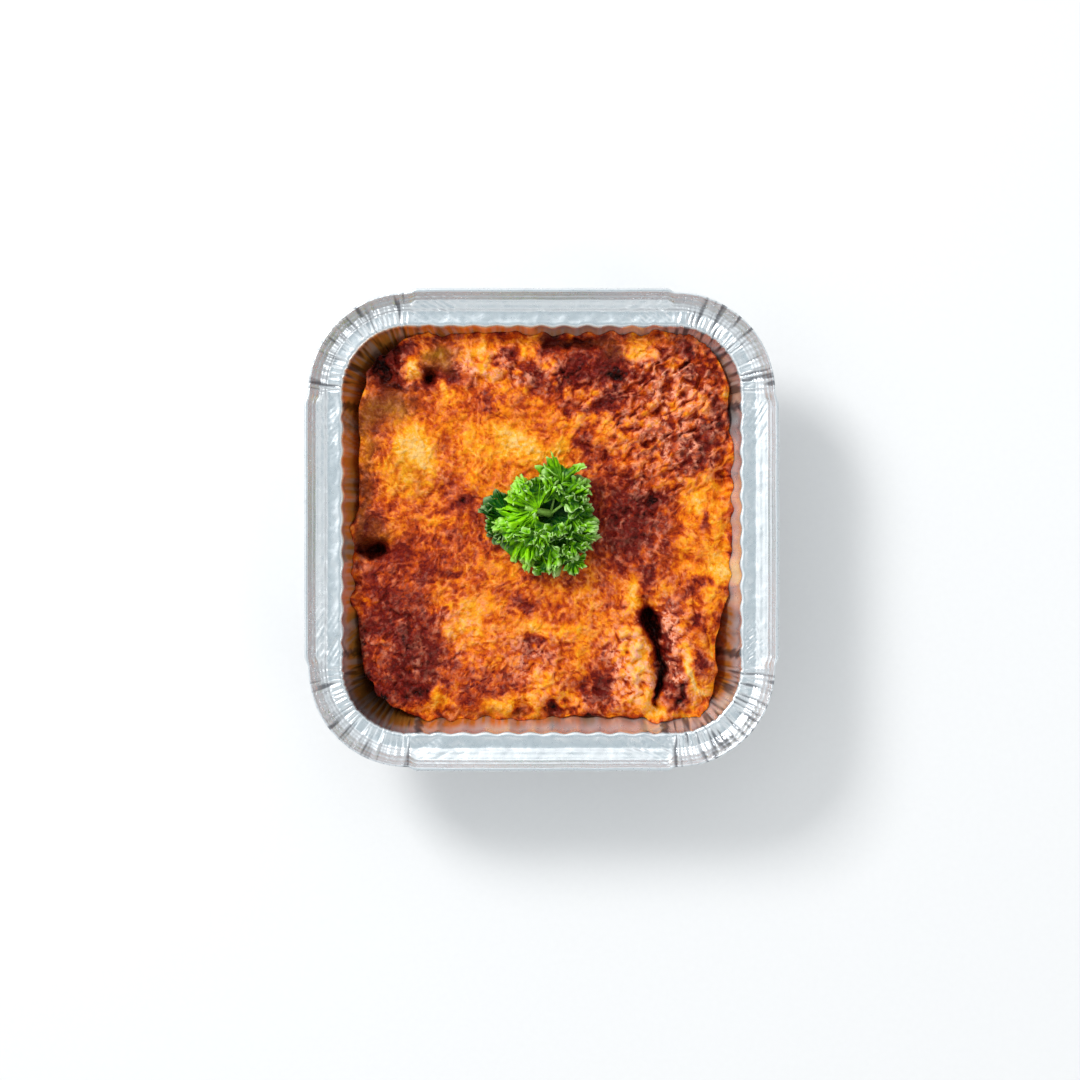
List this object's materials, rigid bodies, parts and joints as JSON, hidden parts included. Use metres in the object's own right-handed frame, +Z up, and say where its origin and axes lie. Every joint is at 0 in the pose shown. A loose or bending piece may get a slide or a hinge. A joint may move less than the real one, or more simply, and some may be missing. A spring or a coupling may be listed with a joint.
{
  "type": "foil tray meal",
  "caption": "Single-portion baked dish with a browned cheese crust in a square fluted foil tray, topped with a sprig of curly parsley.",
  "frame": {"origin": "middle of the tray's flat base, on the surface that it stands on", "axes": "+Z up; +Y towards the top of the picture; +X to its right"},
  "size_m": [0.1522, 0.1548, 0.0439],
  "materials": {
    "foil": "pressed household foil, bright and finely wrinkled",
    "crust": "baked cheese crust, greasy and blistered, golden to dark red-brown",
    "leaf": "fresh curly parsley leaf, slightly waxy"
  },
  "bodies": {
    "root": {"tray": "foil", "bake": "crust", "parsley_sprig": "leaf"}
  },
  "joints": []
}
